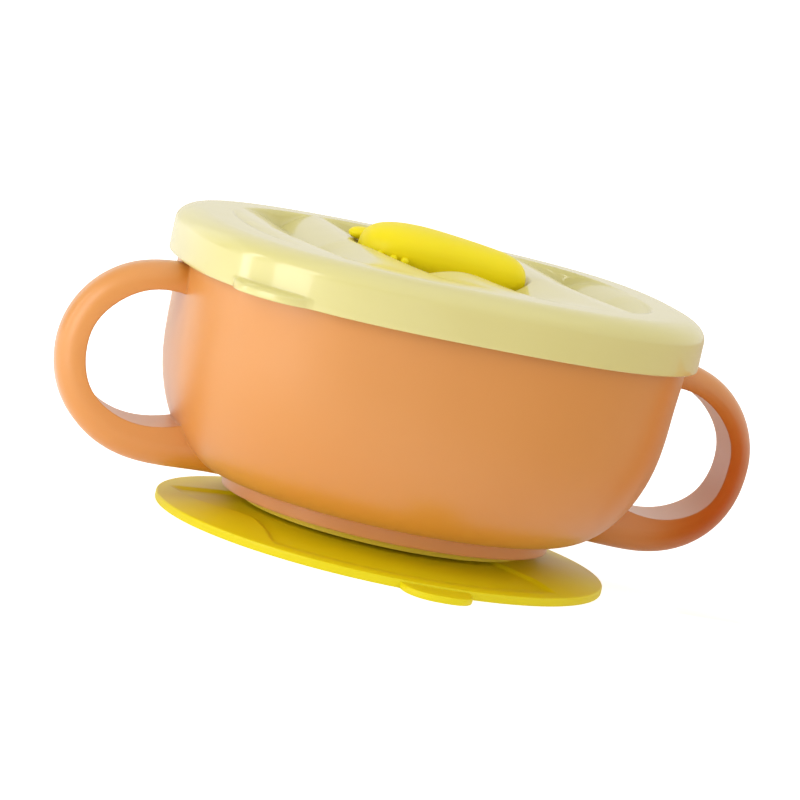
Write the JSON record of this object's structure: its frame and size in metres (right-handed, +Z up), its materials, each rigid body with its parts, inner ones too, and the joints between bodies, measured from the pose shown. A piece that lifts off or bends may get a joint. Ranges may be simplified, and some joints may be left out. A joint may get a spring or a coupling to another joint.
{
  "type": "suction bowl",
  "caption": "Toddler bowl with loop handles, a wave-topped lift-off lid, a vent knob and a twist-lock suction base.",
  "frame": {"origin": "on the table under the middle of the bowl, at the centre of the suction disc's contact ring", "axes": "+Z up through the lid, +X towards the right handle, -Y towards the suction disc's pull tab"},
  "size_m": [0.1804, 0.1316, 0.0799],
  "materials": {
    "bowl_plastic": "satin orange polypropylene",
    "lid_plastic": "satin pale yellow soft plastic",
    "seal_silicone": "matt translucent white silicone",
    "knob_silicone": "satin bright yellow silicone",
    "disc_silicone": "satin bright yellow silicone",
    "hub_plastic": "satin pale yellow polypropylene"
  },
  "bodies": {
    "base": {"suction_disc": "disc_silicone", "lock_hub": "hub_plastic", "clamp_plate": "hub_plastic"},
    "bowl_body": {"bowl": "bowl_plastic"},
    "lid_body": {"lid": "lid_plastic", "lid_seal": "seal_silicone"},
    "knob_body": {"vent_knob": "knob_silicone"}
  },
  "joints": [
    {"name": "base_twist", "type": "hinge", "parent": "base", "child": "bowl_body", "pos_m": [0, 0, 0], "axis": [0, 0, 1], "range_deg": [0, 45]},
    {"name": "lid_lift", "type": "slide", "parent": "bowl_body", "child": "lid_body", "axis": [0, 0, 1], "range_m": [0, 0.06]},
    {"name": "knob_lift", "type": "slide", "parent": "lid_body", "child": "knob_body", "axis": [0, 0, 1], "range_m": [0, 0.02]}
  ]
}
